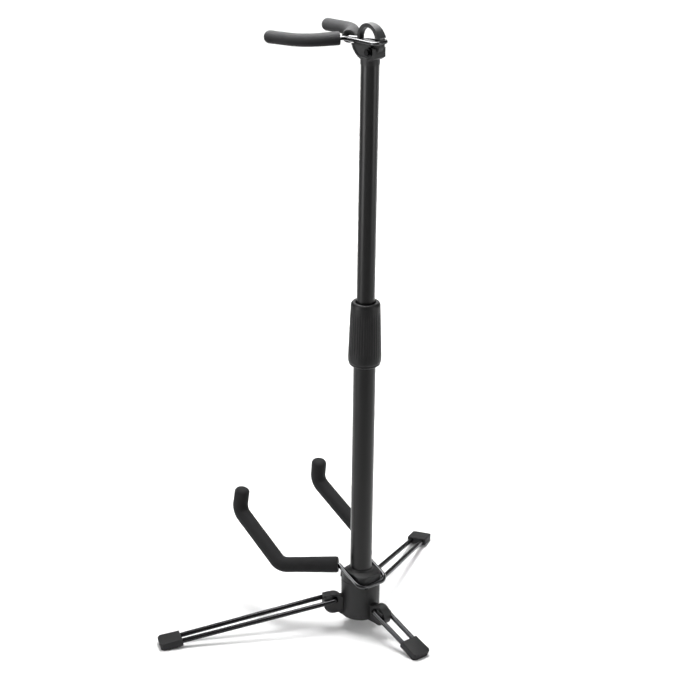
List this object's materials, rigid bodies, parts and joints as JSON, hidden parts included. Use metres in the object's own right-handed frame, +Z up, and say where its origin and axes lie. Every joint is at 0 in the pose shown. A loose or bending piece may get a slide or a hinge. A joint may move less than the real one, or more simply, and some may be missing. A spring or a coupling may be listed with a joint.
{
  "type": "ukulele stand",
  "caption": "Folding floor stand for a ukulele with wire legs on a moulded hub, a telescopic mast with a twist clutch, a padded cradle and a padded neck yoke",
  "frame": {"origin": "middle of the outline on the floor; the mast stands 20.15 mm behind it, at y = +0.02015", "axes": "+Z up along the mast; the instrument faces -Y; +X is the side of the camera's near cradle arm; the rear leg points to +Y"},
  "size_m": [0.3742, 0.2263, 0.6292],
  "materials": {
    "moulded_plastic": "satin black moulding",
    "grip_plastic": "matte black moulding",
    "black_paint": "satin black powder coat",
    "plated_steel": "bright zinc plate",
    "dark_nickel": "polished black nickel plate",
    "gunmetal": "black plated steel",
    "black_foam": "closed-cell foam",
    "foot_rubber": "moulded rubber"
  },
  "bodies": {
    "base": {"hub_body": "moulded_plastic", "hub_cap": "moulded_plastic", "hub_screw": "plated_steel", "hub_washer": "plated_steel", "tube_plug": "moulded_plastic", "lower_tube": "black_paint", "clutch_sleeve": "moulded_plastic", "clutch_collet": "moulded_plastic"},
    "grip": {"clutch_grip": "grip_plastic"},
    "guide": {"guide_bush": "moulded_plastic"},
    "mast": {"end_plug": "moulded_plastic", "upper_tube": "black_paint", "yoke_head": "moulded_plastic", "yoke_arch": "moulded_plastic", "yoke_screw": "gunmetal", "yoke_nut": "gunmetal"},
    "yoke": {"yoke_wire": "dark_nickel", "yoke_foam_left": "black_foam", "yoke_foam_right": "black_foam"},
    "cradle": {"cradle_wire": "dark_nickel", "cradle_foam_left": "black_foam", "cradle_foam_right": "black_foam"},
    "leg_front_left": {"leg_wire_front_left": "gunmetal", "foot_front_left": "foot_rubber"},
    "leg_front_right": {"leg_wire_front_right": "gunmetal", "foot_front_right": "foot_rubber"},
    "leg_rear": {"leg_wire_rear": "gunmetal", "foot_rear": "foot_rubber"}
  },
  "joints": [
    {"name": "height_slide", "type": "slide", "parent": "base", "child": "guide", "axis": [0, 0, 1], "range_m": [-0.22, 0.03]},
    {"name": "mast_swivel", "type": "hinge", "parent": "guide", "child": "mast", "pos_m": [0, 0.02015, 0.2737], "axis": [0, 0, 1], "continuous": true},
    {"name": "clutch_turn", "type": "hinge", "parent": "base", "child": "grip", "pos_m": [0, 0.02015, 0.321], "axis": [0, 0, 1], "range_deg": [0, 180]},
    {"name": "yoke_fold", "type": "hinge", "parent": "mast", "child": "yoke", "pos_m": [0, 0.03515, 0.6134], "axis": [-1, 0, 0], "range_deg": [0, 95]},
    {"name": "cradle_fold", "type": "hinge", "parent": "base", "child": "cradle", "pos_m": [0, 0.04015, 0.054], "axis": [-1, 0, 0], "range_deg": [0, 70]},
    {"name": "leg_front_left_fold", "type": "hinge", "parent": "base", "child": "leg_front_left", "pos_m": [-0.02384, 0.00748, 0.034], "axis": [0.4695, -0.8829, 0], "range_deg": [0, 80]},
    {"name": "leg_front_right_fold", "type": "hinge", "parent": "base", "child": "leg_front_right", "pos_m": [0.02384, 0.00748, 0.034], "axis": [0.4695, 0.8829, 0], "range_deg": [0, 80]},
    {"name": "leg_rear_fold", "type": "hinge", "parent": "base", "child": "leg_rear", "pos_m": [0, 0.04715, 0.0277], "axis": [-1, 0, 0], "range_deg": [0, 67]}
  ]
}
